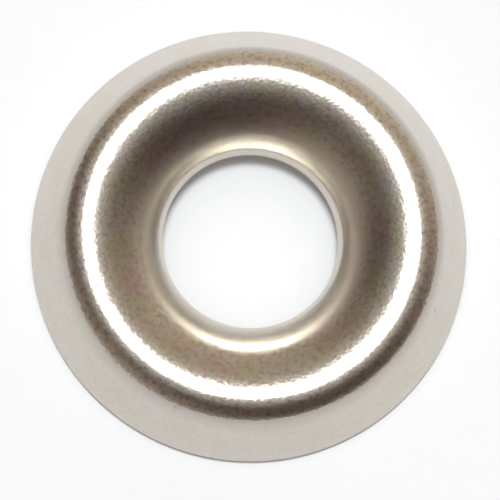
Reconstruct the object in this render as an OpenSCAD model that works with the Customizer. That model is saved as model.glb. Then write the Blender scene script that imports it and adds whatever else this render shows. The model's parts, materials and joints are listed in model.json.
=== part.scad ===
// Finishing cup washer: one disc of thin sheet, stamped into a ring with a rounded crown.
// The rim rests on the work, and the dished middle takes the head of a countersunk screw.
// The section of the sheet lies in the plane of radius and height, and is turned round the axis.

/* [Overall] */
// Outside diameter of the rim
outer_d = 16.2; // [14:0.1:22]
// Height of the crown above the face that the rim rests on
height = 3; // [2.6:0.05:4]
// Thickness of the sheet
sheet_t = 0.46; // [0.3:0.02:0.7]

/* [Flank and crown] */
// Slope of the flank, measured from the face that the rim rests on
flank_angle = 64; // [50:1:80]
// Outside radius of the bend from the flank to the crown
crown_r = 1.1; // [0.8:0.05:1.5]
// Width of the flat that the rim rests on
rim_flat = 0.1; // [0.06:0.01:0.2]
// Radius that blanking leaves along the outside of the rim
rim_roll = 0.1; // [0.05:0.01:0.15]

/* [Dish and hole] */
// Diameter of the screw hole
hole_d = 6.5; // [5:0.1:8]
// Depth of the dish, from the crown down to the lip of the hole
dish_depth = 1.56; // [1.2:0.02:1.9]
// Width of the lip that turns down from the dish into the hole
lip_run = 0.19; // [0.1:0.01:0.3]
// Height of the upright wall of the hole, below the lip
hole_wall = 0.2; // [0.1:0.01:0.3]
// Bevel that piercing breaks out round the bottom of the hole
hole_break = 0.06; // [0.02:0.01:0.1]

/* [Hidden] */

nickel = [0.83, 0.80, 0.75];

// Degrees between the points of a bend, points of a sweep, and steps round the axis
bend_step = 3;
sweep_steps = 6;
round_steps = 180;

// Share of its thickness that the sheet keeps where the lip is drawn down
lip_thin = 0.8;

outer_r = outer_d / 2;
hole_r = hole_d / 2;

// The rim is cut square to the sheet, so its outer edge stands clear of the work
rim_cut = sheet_t - rim_flat * sin(flank_angle);
foot_z = rim_cut * cos(flank_angle) + rim_roll * (sin(flank_angle) - cos(flank_angle));
foot_c = [outer_r - rim_roll, foot_z];

// The flank touches both the rolled edge of the rim and the crown bend, which fixes the crown's radius
crown_z = height - crown_r;
flank_run = ((crown_z - foot_c.y) * cos(flank_angle) + crown_r - rim_roll) / sin(flank_angle);
ridge_r = foot_c.x - flank_run;
crown_c = [ridge_r, crown_z];

// The flat that the rim rests on starts where the inside of the flank comes down to it
flank_inside = crown_c + (crown_r - sheet_t) * lean(flank_angle);
land_r = flank_inside.x + flank_inside.y / tan(flank_angle);

// The dish is a parabola, level at the crown, that grows steeper by an even gain up to the lip
dish_run = ridge_r - hole_r - lip_run;
dish_gain = 2 * dish_depth / dish_run ^ 2;
lip_lean = atan(dish_gain * dish_run);

// The lip touches the end of the dish and the upright wall of the hole
lip_r = lip_run / (1 - sin(lip_lean));
lip_c = [hole_r + lip_r, height - dish_depth - lip_r * cos(lip_lean)];
hole_z = lip_c.y - hole_wall - hole_break;

// Unit vector that leans outwards from the vertical
function lean(angle) = [sin(angle), cos(angle)];

// Points along a bend, from one lean to another
function bend(centre, radius, from, to) =
    let (steps = ceil(abs(to - from) / bend_step))
    [for (i = [0:steps]) centre + radius * lean(from + (to - from) * i / steps)];

// Points down the dish from the crown to the lip, set into the sheet from its upper face
function dish(inset) =
    let (steps = ceil(lip_lean / bend_step))
    [for (i = [0:steps]) dish_point(lip_lean * i / steps, inset)];
function dish_point(angle, inset) =
    let (x = tan(angle) / dish_gain)
    [ridge_r - x, height - dish_gain * x ^ 2 / 2] - inset * lean(-angle);

// Points along a sweep from a start to an end, which leaves and arrives along the lines to a knee
function sweep(start, knee, end) =
    [for (i = [0:sweep_steps]) let (u = i / sweep_steps)
        (1 - u) ^ 2 * start + 2 * u * (1 - u) * knee + u ^ 2 * end];

// The same points the other way round
function reversed(points) = [for (i = [len(points) - 1:-1:0]) points[i]];

// Outline of the sheet, over the top from rim to hole and back along the underside
module sheet_section() {
    rim = concat([[land_r + rim_flat, 0]], bend(foot_c, rim_roll, 90 + flank_angle, flank_angle));
    crown = bend(crown_c, crown_r, flank_angle, 3);
    lip = bend(lip_c, lip_r, -lip_lean - 3, -90);
    hole_wall_end = [hole_r, hole_z + hole_break];
    hole_break_end = [hole_r + hole_break, hole_z];

    under_dish = reversed(dish(sheet_t));
    lip_end = [hole_r + lip_thin * sheet_t, hole_z];
    knee = [lip_end.x, under_dish[0].y - (under_dish[0].x - lip_end.x) * tan(lip_lean)];
    under_lip = sweep(lip_end, knee, under_dish[0]);
    under_crown = bend(crown_c, crown_r - sheet_t, 3, flank_angle);

    top = concat(rim, crown, dish(0), lip, [hole_wall_end, hole_break_end]);
    underside = concat(under_lip, [for (i = [1:len(under_dish) - 1]) under_dish[i]], under_crown);
    polygon(concat(top, underside, [[land_r, 0]]));
}

module cup_washer() {
    color(nickel)
        rotate_extrude($fn = round_steps)
            sheet_section();
}

cup_washer();
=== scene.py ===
"""A nickel-plated finishing cup washer on white paper, seen from almost straight above."""

import json
import math

import bpy
import numpy as np
from mathutils import Matrix, Vector


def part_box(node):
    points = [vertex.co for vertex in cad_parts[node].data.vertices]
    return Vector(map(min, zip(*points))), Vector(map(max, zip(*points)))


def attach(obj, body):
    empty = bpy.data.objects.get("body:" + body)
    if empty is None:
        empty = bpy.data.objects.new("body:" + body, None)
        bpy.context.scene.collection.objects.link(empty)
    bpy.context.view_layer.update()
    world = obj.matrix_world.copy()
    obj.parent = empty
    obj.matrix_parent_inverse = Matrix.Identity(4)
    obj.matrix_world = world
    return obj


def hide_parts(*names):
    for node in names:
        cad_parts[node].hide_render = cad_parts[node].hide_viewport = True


MM = 0.001

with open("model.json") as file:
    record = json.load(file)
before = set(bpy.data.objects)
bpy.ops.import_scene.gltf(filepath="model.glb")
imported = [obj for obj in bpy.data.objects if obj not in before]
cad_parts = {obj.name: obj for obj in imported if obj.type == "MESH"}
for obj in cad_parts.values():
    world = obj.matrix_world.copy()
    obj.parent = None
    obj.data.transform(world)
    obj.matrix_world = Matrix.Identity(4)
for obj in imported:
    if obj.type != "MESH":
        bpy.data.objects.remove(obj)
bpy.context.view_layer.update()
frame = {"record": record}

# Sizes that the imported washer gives
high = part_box("cup_washer")[1]
OUTER_R = min(high.x, high.y)
HEIGHT = high.z
MOUNTS = {mount["name"]: mount for mount in frame["record"]["mounts"]}
HOLE_R = MOUNTS["screw_hole"]["dims"]["r_mm"] * MM

# Section of the sheet, in metres and degrees
SHEET_T = 0.46 * MM
FLANK_ANGLE = 64
CROWN_R = 1.1 * MM
RIM_ROLL = 0.1 * MM
RIM_FLAT = 0.1 * MM
DISH_DEPTH = 1.56 * MM
LIP_RUN = 0.19 * MM
HOLE_WALL = 0.2 * MM
HOLE_BREAK = 0.06 * MM
# Share of its thickness that the sheet keeps where the lip is drawn down
LIP_THIN = 0.8

# Mesh: degrees between the points of a bend, steps along a stretch and steps round the axis
BEND_STEP = 2
RIM_STEP = 6
FLANK_STEPS = 24
FLANK_INSIDE_STEPS = 12
WALL_STEPS = 4
UNDER_LIP_STEPS = 8
ROUND_STEPS = 480
# Edges that turn by more than this, in degrees, are shaded sharp
SHARP_ANGLE = 25

# Camera: how far it stands from the washer's axis towards the picture's left and bottom, in degrees
VIEW_LEFT = 2.9
VIEW_DOWN = 9.6
VIEW_DISTANCE = 154 * MM
SENSOR_WIDTH = 36
CLIP_START = 0.01
CLIP_END = 10
# Width of the picture, and the rim's radius and centre in it, in pixels
PICTURE_PX = 500
RIM_PX = 217.7
RIM_CENTRE_PX = (249.0, 245.5)

# Lamp: an oval softbox, its lean from the zenith towards the picture's right and top in degrees
LAMP_RIGHT = -1.3
LAMP_UP = 11
LAMP_DISTANCE = 1.2
LAMP_HALF_ANGLES = (8.0, 6.6)
LAMP_COLOUR = (0.9, 0.96, 1)
# Share of white that the lamp gives to the paper
LAMP_SHARE = 0.545

# Colours of the plate, linear
NICKEL = (0.64, 0.602, 0.55)
NICKEL_OLIVE = (0.585, 0.58, 0.40)
NICKEL_ROSE = (0.615, 0.495, 0.485)
# Worn plate; the same colour serves as painted shade along the flank's top, above the lip and at
# the hole
NICKEL_WORN_AND_SHADE = (0.36, 0.315, 0.28)
NICKEL_CLEAN = (0.76, 0.705, 0.615)
# Dark hole wall: the raw cut edge, darkened further as painted shade
PIERCED_AND_SHADE = (0.16, 0.13, 0.115)

# Bands of the plate: distances from the axis between which a look comes or goes
HOLE_FADE = (3.3 * MM, 3.5 * MM)
RUB_FADE = (3.8 * MM, 4.9 * MM)
GRAIN_FADE = (3.9 * MM, 4.9 * MM)
LIP_FADE = (4.0 * MM, 4.5 * MM)
DISH_FADE = (5.4 * MM, 6.0 * MM)
BEND_FADE = (6.0 * MM, 6.4 * MM)
# The flank's top and the painted shade along it run round a line just beside the axis, set off so
# that the shade follows where the bend's reflection ends as seen from the camera
FLANK_SHADE_CENTRE = (-0.02 * MM, -0.065 * MM)
FLANK_FADE = (6.74 * MM, 6.84 * MM)
FLANK_SHADE_FADE = (6.84 * MM, 7.2 * MM)
# The inner edge of the bright ring, which stays clear of stains
GLINT_R = 5.8 * MM
GLINT_FADE = (0.2 * MM, 0.6 * MM)
# A painted dark line above the lip, painted shade where the lip reflects the dark far slope; it
# shows on both sides of the upper half
SHADE_LINE_R = 3.6 * MM
SHADE_LINE_FADE = (0.03 * MM, 0.12 * MM)
SHADE_LINE_START_Y = (-1.5 * MM, 0)
SHADE_LINE_END_Y = (2.7 * MM, 3.3 * MM)
# Heights between which the dark foot of the hole's wall ends; the dark is the raw cut edge and
# painted shade for the shadow under the hole's far edge
WALL_SHADE_FADE_Z = (0.85 * MM, 1.0 * MM)

# How strong each look of the plate is, as a share
MARKS_ON_FLANK = 0.28
STAIN_AT_GLINT = 0.35
WEAR_IN_DISH = 0.2
WEAR_ON_FLANK = 0.12
# Painted shade along the flank's top
PAINTED_SHADE_ON_FLANK_TOP = 0.55
WEAR_IN_SPECKLE = 0.7
WEAR_IN_PITS = 0.6
# Wear and painted shade at the hole's edge
WEAR_AND_SHADE_AT_HOLE = 0.3
# Painted shade in the dark line above the lip
PAINTED_SHADE_IN_LINE = 0.48
SPECKLE_AT_LIP = 0.2
CLEAN_SHARE = 0.8
# Raw cut edge and painted shade at the foot of the hole's wall
PIERCED_AND_SHADE_SHARE = 0.8

# Noise of the plate: its scale per metre, and the values between which a look comes or goes
OLIVE_SCALE = 800
OLIVE_RANGE = (0.45, 0.65)
ROSE_SCALE = 1000
ROSE_RANGE = (0.48, 0.68)
ROSE_DISTORTION = 0.6
SPECKLE_SCALE = 5500
SPECKLE_RANGE = (0.45, 0.75)
PIT_SCALE = 420
PIT_RANGE = (0.02, 0.05)

# Gloss and grain of the plate
HAZE_SCALE = 900
HAZE_DETAIL = 3
HAZE_RANGE = (0.3, 0.7)
ROUGHNESS_RANGE = (0.155, 0.19)
RUBBED_ROUGHNESS = 0.08
GRAIN_SCALE = 8500
GRAIN_DETAIL = 0
GRAIN_DEPTH = 4.4e-6
GRAIN_AT_LIP = 0.05

# Paper, with the share of plain white in it as the camera and the metal see it
PAPER = (0.945, 0.945, 0.95)
PAPER_WHITE = 0.08
PAPER_ROUGHNESS = 0.9
TOOTH_SCALE = 1500
TOOTH_DETAIL = 4
TOOTH_SHADE = 0.97
FLOOR_HALF = 1.5

# Room: colours, azimuths in degrees, and the cosines between which each light comes
ROOM_DIM = (0.106, 0.080, 0.074)
ROOM_FAR = (0.67, 0.565, 0.45)
ROOM_FAR_AZ = 68
FAR_RANGE = (-0.4, 1)
ROOM_NEAR = (0.33, 0.28, 0.235)
ROOM_NEAR_AZ = 215
NEAR_RANGE = (0.3, 1)
SIDE_POWER = 2
ROOM_LOW = (0.95, 0.92, 0.88)
LOW_RANGE = (0.45, 0)
LOW_POWER = 3
LOW_SHARE = 0.3
CEILING = (1.0, 0.98, 0.94)
CEILING_FAR = (1.0, 0.90, 0.74)
CEILING_FAR_RANGE = (0.2, 0.6)
GLOW_RANGE = (0.5, 1)
GLOW_SHARE = 0.75
LAMP_HALO = (5.6, 5.8, 6.0)
HALO_RANGE = (0.935, 1)
LAMP_POWER = 2.5


def lean(angle):
    """Unit vector in the plane of radius and height that leans outwards from the vertical."""
    a = math.radians(angle)
    return np.array([math.sin(a), math.cos(a)])


def bend(centre, radius, start, end, step=BEND_STEP):
    """Points along a bend of the section, from one lean to another."""
    steps = math.ceil(abs(end - start) / step)
    return [centre + radius * lean(a) for a in np.linspace(start, end, steps + 1)]


def straight(start, end, steps):
    """Points along a straight stretch of the section, without its ends."""
    return [start + (end - start) * i / steps for i in range(1, steps)]


def sweep(start, knee, end, steps):
    """Points along a curve that leaves and arrives along the lines to a knee."""
    return [
        (1 - u) ** 2 * start + 2 * u * (1 - u) * knee + u * u * end
        for u in np.linspace(0, 1, steps + 1)
    ]


def sheet_section():
    """Closed outline of the sheet, over the top from foot to hole and back along the underside."""
    slope = math.radians(FLANK_ANGLE)
    cut = SHEET_T - RIM_FLAT * math.sin(slope)
    foot_z = cut * math.cos(slope) + RIM_ROLL * (math.sin(slope) - math.cos(slope))
    foot_c = np.array([OUTER_R - RIM_ROLL, foot_z])
    crown_z = HEIGHT - CROWN_R
    flank_rise = crown_z - foot_c[1]
    flank_run = (flank_rise * math.cos(slope) + CROWN_R - RIM_ROLL) / math.sin(slope)
    ridge_r = foot_c[0] - flank_run
    crown_c = np.array([ridge_r, crown_z])

    # The dish is a parabola, and the lip turns it down into the hole
    dish_run = ridge_r - HOLE_R - LIP_RUN
    steep = 2 * DISH_DEPTH / dish_run ** 2
    lip_slope = math.atan(steep * dish_run)
    lip_lean = math.degrees(lip_slope)
    lip_r = LIP_RUN / (1 - math.sin(lip_slope))
    lip_c = np.array([HOLE_R + lip_r, HEIGHT - DISH_DEPTH - lip_r * math.cos(lip_slope)])
    hole_z = lip_c[1] - HOLE_WALL - HOLE_BREAK

    def dish_point(angle, inset):
        x = math.tan(math.radians(angle)) / steep
        return np.array([ridge_r - x, HEIGHT - steep * x * x / 2]) - inset * lean(-angle)

    leans = np.linspace(0, lip_lean, math.ceil(lip_lean / BEND_STEP) + 1)
    foot = bend(foot_c, RIM_ROLL, 90 + FLANK_ANGLE, FLANK_ANGLE, RIM_STEP)
    crown = bend(crown_c, CROWN_R, FLANK_ANGLE, 0)
    dish = [dish_point(a, 0) for a in leans]
    lip = bend(lip_c, lip_r, -lip_lean, -90)
    wall_end = np.array([HOLE_R, hole_z + HOLE_BREAK])
    break_end = np.array([HOLE_R + HOLE_BREAK, hole_z])

    lip_end = np.array([HOLE_R + LIP_THIN * SHEET_T, hole_z])
    under_dish = [dish_point(a, SHEET_T) for a in leans[::-1]]
    knee_z = under_dish[0][1] + (lip_end[0] - under_dish[0][0]) * math.tan(lip_slope)
    under_lip = sweep(lip_end, np.array([lip_end[0], knee_z]), under_dish[0], UNDER_LIP_STEPS)
    under_crown = bend(crown_c, CROWN_R - SHEET_T, 0, FLANK_ANGLE)
    flank_inside = under_crown[-1]
    land_r = flank_inside[0] + flank_inside[1] / math.tan(slope)
    land_edge = np.array([land_r, 0])
    land_out = np.array([land_r + RIM_FLAT, 0])

    return (
        [land_out]
        + foot
        + straight(foot[-1], crown[0], FLANK_STEPS)
        + crown
        + dish[1:]
        + lip[1:]
        + straight(lip[-1], wall_end, WALL_STEPS)
        + [wall_end, break_end]
        + under_lip
        + under_dish[1:]
        + under_crown[1:]
        + straight(flank_inside, land_edge, FLANK_INSIDE_STEPS)
        + [land_edge]
    )


def turned_mesh(name, section):
    """Mesh of a closed section turned round the Z axis."""
    count = len(section)
    points = np.array(section)
    turn = np.linspace(0, 2 * math.pi, ROUND_STEPS, endpoint=False)
    ring_x = np.cos(turn)[:, None] * points[:, 0]
    ring_y = np.sin(turn)[:, None] * points[:, 0]
    ring_z = np.broadcast_to(points[:, 1], ring_x.shape)
    verts = np.stack([ring_x, ring_y, ring_z], axis=-1).reshape(-1, 3)
    faces = []
    for i in range(ROUND_STEPS):
        j = (i + 1) % ROUND_STEPS
        for k in range(count):
            n = (k + 1) % count
            faces.append((i * count + k, j * count + k, j * count + n, i * count + n))
    mesh = bpy.data.meshes.new(name)
    mesh.from_pydata(verts.tolist(), [], faces)
    mesh.polygons.foreach_set("use_smooth", [True] * len(mesh.polygons))
    mesh.set_sharp_from_angle(angle=math.radians(SHARP_ANGLE))
    return mesh


def new_material(name):
    """New node material, with its tree and its Principled shader."""
    material = bpy.data.materials.new(name)
    material.use_nodes = True
    return material, material.node_tree, material.node_tree.nodes["Principled BSDF"]


def noise(tree, coords, scale, detail=2.0, distortion=0.0):
    """Noise texture of a given scale in the object's own coordinates."""
    node = tree.nodes.new("ShaderNodeTexNoise")
    node.inputs["Scale"].default_value = scale
    node.inputs["Detail"].default_value = detail
    node.inputs["Distortion"].default_value = distortion
    tree.links.new(coords, node.inputs["Vector"])
    return node.outputs["Fac"]


def map_range(tree, value, from_range, to_range):
    """Maps a value from one range to another, held at the ends."""
    node = tree.nodes.new("ShaderNodeMapRange")
    node.inputs["From Min"].default_value, node.inputs["From Max"].default_value = from_range
    node.inputs["To Min"].default_value, node.inputs["To Max"].default_value = to_range
    tree.links.new(value, node.inputs["Value"])
    return node.outputs["Result"]


def math_node(tree, operation, *values):
    """Result of one operation on sockets or numbers."""
    node = tree.nodes.new("ShaderNodeMath")
    node.operation = operation
    for socket, value in zip(node.inputs, values):
        if isinstance(value, (int, float)):
            socket.default_value = value
        else:
            tree.links.new(value, socket)
    return node.outputs["Value"]


def times(tree, a, b):
    """Product of two sockets or numbers."""
    return math_node(tree, "MULTIPLY", a, b)


def around(tree, radius, circle, fade, to_range):
    """Value that goes from one end of a range to the other with the distance from a circle."""
    distance = math_node(tree, "ABSOLUTE", math_node(tree, "SUBTRACT", radius, circle))
    return map_range(tree, distance, fade, to_range)


def mix_colour(tree, factor, a, b):
    """Mixes two colours by a factor."""
    node = tree.nodes.new("ShaderNodeMix")
    node.data_type = "RGBA"
    tree.links.new(factor, node.inputs["Factor"])
    for socket, colour in zip((node.inputs["A"], node.inputs["B"]), (a, b)):
        if isinstance(colour, tuple):
            socket.default_value = (*colour, 1)
        else:
            tree.links.new(colour, socket)
    return node.outputs["Result"]


def wear_and_shade(tree, tint, *shares):
    """Tint of the plate, darkened by each share in turn: wear, and painted shade in some bands."""
    for share in shares:
        tint = mix_colour(tree, share, tint, NICKEL_WORN_AND_SHADE)
    return tint


def from_axis(tree, coords, centre=(0, 0)):
    """Distance from the washer's axis, or from an upright line beside it."""
    flat = tree.nodes.new("ShaderNodeVectorMath")
    flat.operation = "MULTIPLY_ADD"
    flat.inputs[1].default_value = (1, 1, 0)
    flat.inputs[2].default_value = (-centre[0], -centre[1], 0)
    tree.links.new(coords, flat.inputs[0])
    length = tree.nodes.new("ShaderNodeVectorMath")
    length.operation = "LENGTH"
    tree.links.new(flat.outputs["Vector"], length.inputs[0])
    return length.outputs["Value"]


def nickel_tint(tree, coords, radius):
    """Colour of the plate: stains, wear and speckle by bands, painted shade along the flank's top,
    above the lip and at the hole, clean at the crown and the lip.
    """
    off_lip = map_range(tree, radius, LIP_FADE, (0, 1))
    in_dish = times(tree, off_lip, map_range(tree, radius, DISH_FADE, (1, 0)))
    flank_shade_radius = from_axis(tree, coords, FLANK_SHADE_CENTRE)
    off_flank = map_range(tree, flank_shade_radius, FLANK_FADE, (1, 0))
    on_flank = map_range(tree, off_flank, (0, 1), (1, 0))
    on_bend = times(tree, map_range(tree, radius, BEND_FADE, (0, 1)), off_flank)
    at_hole = map_range(tree, radius, HOLE_FADE, (1, 0))

    # Olive and rosy stains, faint on the flank and along the bright ring
    marked = map_range(tree, off_flank, (0, 1), (MARKS_ON_FLANK, 1))
    off_glint = around(tree, radius, GLINT_R, GLINT_FADE, (STAIN_AT_GLINT, 1))
    stained = times(tree, marked, off_glint)
    olive = map_range(tree, noise(tree, coords, OLIVE_SCALE), OLIVE_RANGE, (0, 1))
    tint = mix_colour(tree, times(tree, olive, stained), NICKEL, NICKEL_OLIVE)
    rose_noise = noise(tree, coords, ROSE_SCALE, distortion=ROSE_DISTORTION)
    rose = map_range(tree, rose_noise, ROSE_RANGE, (0, 1))
    tint = mix_colour(tree, times(tree, rose, stained), tint, NICKEL_ROSE)

    # Wear in the dish and on the flank, and painted shade in the band along the flank's top
    flank_top_shade = times(tree, map_range(tree, flank_shade_radius, FLANK_SHADE_FADE, (PAINTED_SHADE_ON_FLANK_TOP, 0)), on_flank)
    dish_wear = times(tree, in_dish, WEAR_IN_DISH)
    tint = wear_and_shade(tree, tint, dish_wear, times(tree, on_flank, WEAR_ON_FLANK), flank_top_shade)
    clean = math_node(tree, "MAXIMUM", on_bend, math_node(tree, "SUBTRACT", 1, off_lip))
    tint = mix_colour(tree, times(tree, clean, CLEAN_SHARE), tint, NICKEL_CLEAN)

    # Speckle and pits, which the burnished lip has little of
    speckle_noise = noise(tree, coords, SPECKLE_SCALE)
    speckle = map_range(tree, speckle_noise, SPECKLE_RANGE, (0, WEAR_IN_SPECKLE))
    speckled = times(tree, marked, map_range(tree, off_lip, (0, 1), (SPECKLE_AT_LIP, 1)))
    pits = tree.nodes.new("ShaderNodeTexVoronoi")
    pits.inputs["Scale"].default_value = PIT_SCALE
    tree.links.new(coords, pits.inputs["Vector"])
    pitted = map_range(tree, pits.outputs["Distance"], PIT_RANGE, (WEAR_IN_PITS, 0))
    tint = wear_and_shade(tree, tint, times(tree, speckle, speckled), times(tree, pitted, off_lip))

    # The hole's edge and the dark foot of its wall, raw cut edge with painted shade for the shadow
    # under the far edge, and a painted dark line above the lip
    place = tree.nodes.new("ShaderNodeSeparateXYZ")
    tree.links.new(coords, place.inputs["Vector"])
    # Painted shade: a dark line where the lip reflects the dark far slope, on the upper half only
    shade_line = around(tree, radius, SHADE_LINE_R, SHADE_LINE_FADE, (PAINTED_SHADE_IN_LINE, 0))
    shade_line_upper = map_range(tree, place.outputs["Y"], SHADE_LINE_START_Y, (0, 1))
    shade_line_upper = times(tree, shade_line_upper, map_range(tree, place.outputs["Y"], SHADE_LINE_END_Y, (1, 0)))
    tint = wear_and_shade(tree, tint, times(tree, at_hole, WEAR_AND_SHADE_AT_HOLE), times(tree, shade_line, shade_line_upper))
    # Painted shade, with the raw cut edge, at the foot of the hole's wall
    wall_foot_shade = map_range(tree, place.outputs["Z"], WALL_SHADE_FADE_Z, (PIERCED_AND_SHADE_SHARE, 0))
    return mix_colour(tree, times(tree, at_hole, wall_foot_shade), tint, PIERCED_AND_SHADE)


def nickel_material():
    """Bright nickel plate with a fine grain, stained and worn, burnished at the lip, with painted
    shade in some bands.
    """
    material, tree, shader = new_material("nickel_plate")
    coords = tree.nodes.new("ShaderNodeTexCoord").outputs["Object"]
    radius = from_axis(tree, coords)
    shader.inputs["Metallic"].default_value = 1
    tree.links.new(nickel_tint(tree, coords, radius), shader.inputs["Base Color"])

    haze_noise = noise(tree, coords, HAZE_SCALE, HAZE_DETAIL)
    haze = map_range(tree, haze_noise, HAZE_RANGE, ROUGHNESS_RANGE)
    rubbed = map_range(tree, radius, RUB_FADE, (RUBBED_ROUGHNESS, 0))
    tree.links.new(math_node(tree, "ADD", haze, rubbed), shader.inputs["Roughness"])

    grain = tree.nodes.new("ShaderNodeBump")
    grain.inputs["Distance"].default_value = GRAIN_DEPTH
    strength = map_range(tree, radius, GRAIN_FADE, (GRAIN_AT_LIP, 1))
    tree.links.new(strength, grain.inputs["Strength"])
    tree.links.new(noise(tree, coords, GRAIN_SCALE, GRAIN_DETAIL), grain.inputs["Height"])
    tree.links.new(grain.outputs["Normal"], shader.inputs["Normal"])
    return material


def paper_material():
    """White paper with a faint tooth, lifted towards plain white where it is seen."""
    material, tree, shader = new_material("paper")
    coords = tree.nodes.new("ShaderNodeTexCoord").outputs["Object"]
    shade = tuple(TOOTH_SHADE * c for c in PAPER)
    tooth = noise(tree, coords, TOOTH_SCALE, TOOTH_DETAIL)
    tree.links.new(mix_colour(tree, tooth, shade, PAPER), shader.inputs["Base Color"])
    shader.inputs["Roughness"].default_value = PAPER_ROUGHNESS
    shader.inputs["Specular IOR Level"].default_value = 0

    rays = tree.nodes.new("ShaderNodeLightPath").outputs
    seen = math_node(tree, "MAXIMUM", rays["Is Camera Ray"], rays["Is Glossy Ray"])
    white = tree.nodes.new("ShaderNodeEmission")
    lifted = tree.nodes.new("ShaderNodeMixShader")
    tree.links.new(times(tree, seen, PAPER_WHITE), lifted.inputs["Fac"])
    tree.links.new(shader.outputs["BSDF"], lifted.inputs[1])
    tree.links.new(white.outputs["Emission"], lifted.inputs[2])
    tree.links.new(lifted.outputs["Shader"], tree.nodes["Material Output"].inputs["Surface"])
    return material


def direction(right, up):
    """Unit vector that leans from the zenith, in degrees towards the picture's right and top."""
    return Vector((math.tan(math.radians(right)), math.tan(math.radians(up)), 1)).normalized()


def aim(obj, place, towards):
    """Places a camera or lamp that looks along a direction, with the picture's right along +X."""
    ahead = towards.normalized()
    right = (Vector((1, 0, 0)) - ahead * ahead.x).normalized()
    up = right.cross(ahead)
    turn = Matrix((right, up, -ahead)).transposed()
    obj.matrix_world = Matrix.Translation(place) @ turn.to_4x4()


def add_object(name, data):
    """New object in the scene."""
    obj = bpy.data.objects.new(name, data)
    bpy.context.scene.collection.objects.link(obj)
    return obj


def add_washer():
    """The washer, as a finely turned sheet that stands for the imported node."""
    mesh = turned_mesh("finishing_washer", sheet_section())
    mesh.materials.append(nickel_material())
    washer = add_object("finishing_washer", mesh)
    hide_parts("cup_washer")
    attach(washer, "root")


def add_floor():
    """A wide sheet of white paper under the washer."""
    half = FLOOR_HALF
    mesh = bpy.data.meshes.new("paper_floor")
    corners = [(-half, -half, 0), (half, -half, 0), (half, half, 0), (-half, half, 0)]
    mesh.from_pydata(corners, [], [(0, 1, 2, 3)])
    mesh.materials.append(paper_material())
    floor = add_object("paper_floor", mesh)


def add_camera():
    """The camera, framed so that the rim has its size and place in the picture."""
    data = bpy.data.cameras.new("camera")
    px = OUTER_R / RIM_PX
    data.sensor_width = SENSOR_WIDTH
    data.lens = data.sensor_width * VIEW_DISTANCE / (PICTURE_PX * px)
    data.clip_start = CLIP_START
    data.clip_end = CLIP_END
    camera = add_object("camera", data)
    back = direction(-VIEW_LEFT, -VIEW_DOWN)
    middle = PICTURE_PX / 2
    target = Vector(((middle - RIM_CENTRE_PX[0]) * px, (RIM_CENTRE_PX[1] - middle) * px, 0))
    aim(camera, target + back * VIEW_DISTANCE, -back)
    bpy.context.scene.camera = camera


def add_lamp():
    """An oval softbox almost overhead."""
    data = bpy.data.lights.new("softbox", "AREA")
    data.shape = "ELLIPSE"
    half_sizes = (LAMP_DISTANCE * math.tan(math.radians(a)) for a in LAMP_HALF_ANGLES)
    data.size, data.size_y = (2 * half for half in half_sizes)
    data.color = LAMP_COLOUR
    # Power that lights a white surface below the lamp to this share of white
    data.energy = LAMP_SHARE * (math.pi * LAMP_DISTANCE) ** 2
    lamp = add_object("softbox", data)
    towards = direction(LAMP_RIGHT, LAMP_UP)
    aim(lamp, towards * LAMP_DISTANCE, -towards)


def facing(tree, coords, towards):
    """Cosine of the angle between the direction looked in and another."""
    node = tree.nodes.new("ShaderNodeVectorMath")
    node.operation = "DOT_PRODUCT"
    node.inputs[1].default_value = towards
    tree.links.new(coords, node.inputs[0])
    return node.outputs["Value"]


def level(azimuth):
    """Unit vector along the ground, turned from the picture's right towards its top in degrees."""
    a = math.radians(azimuth)
    return Vector((math.cos(a), math.sin(a), 0))


def lobe(tree, cosine, cosines, power):
    """Share of a light that comes between two cosines, sharpened by a power."""
    return math_node(tree, "POWER", map_range(tree, cosine, cosines, (0, 1)), power)


def add_room():
    """The room: dim, paler on two sides and along the ground, with a glow round the softbox."""
    world = bpy.data.worlds.new("room")
    bpy.context.scene.world = world
    world.use_nodes = True
    tree = world.node_tree
    coords = tree.nodes.new("ShaderNodeTexCoord").outputs["Generated"]
    to_far = facing(tree, coords, level(ROOM_FAR_AZ))
    to_near = facing(tree, coords, level(ROOM_NEAR_AZ))
    to_zenith = facing(tree, coords, Vector((0, 0, 1)))
    to_lamp = facing(tree, coords, direction(LAMP_RIGHT, LAMP_UP))

    room = mix_colour(tree, lobe(tree, to_far, FAR_RANGE, SIDE_POWER), ROOM_DIM, ROOM_FAR)
    room = mix_colour(tree, lobe(tree, to_near, NEAR_RANGE, SIDE_POWER), room, ROOM_NEAR)
    low = times(tree, lobe(tree, to_zenith, LOW_RANGE, LOW_POWER), LOW_SHARE)
    room = mix_colour(tree, low, room, ROOM_LOW)

    ahead = map_range(tree, to_far, CEILING_FAR_RANGE, (0, 1))
    ceiling = mix_colour(tree, ahead, CEILING, CEILING_FAR)
    glow = times(tree, lobe(tree, to_lamp, GLOW_RANGE, LAMP_POWER), GLOW_SHARE)
    room = mix_colour(tree, glow, room, ceiling)
    room = mix_colour(tree, lobe(tree, to_lamp, HALO_RANGE, LAMP_POWER), room, LAMP_HALO)
    tree.links.new(room, tree.nodes["Background"].inputs["Color"])


bpy.context.scene.view_settings.view_transform = "Standard"
add_camera()
add_washer()
add_floor()
add_lamp()
add_room()
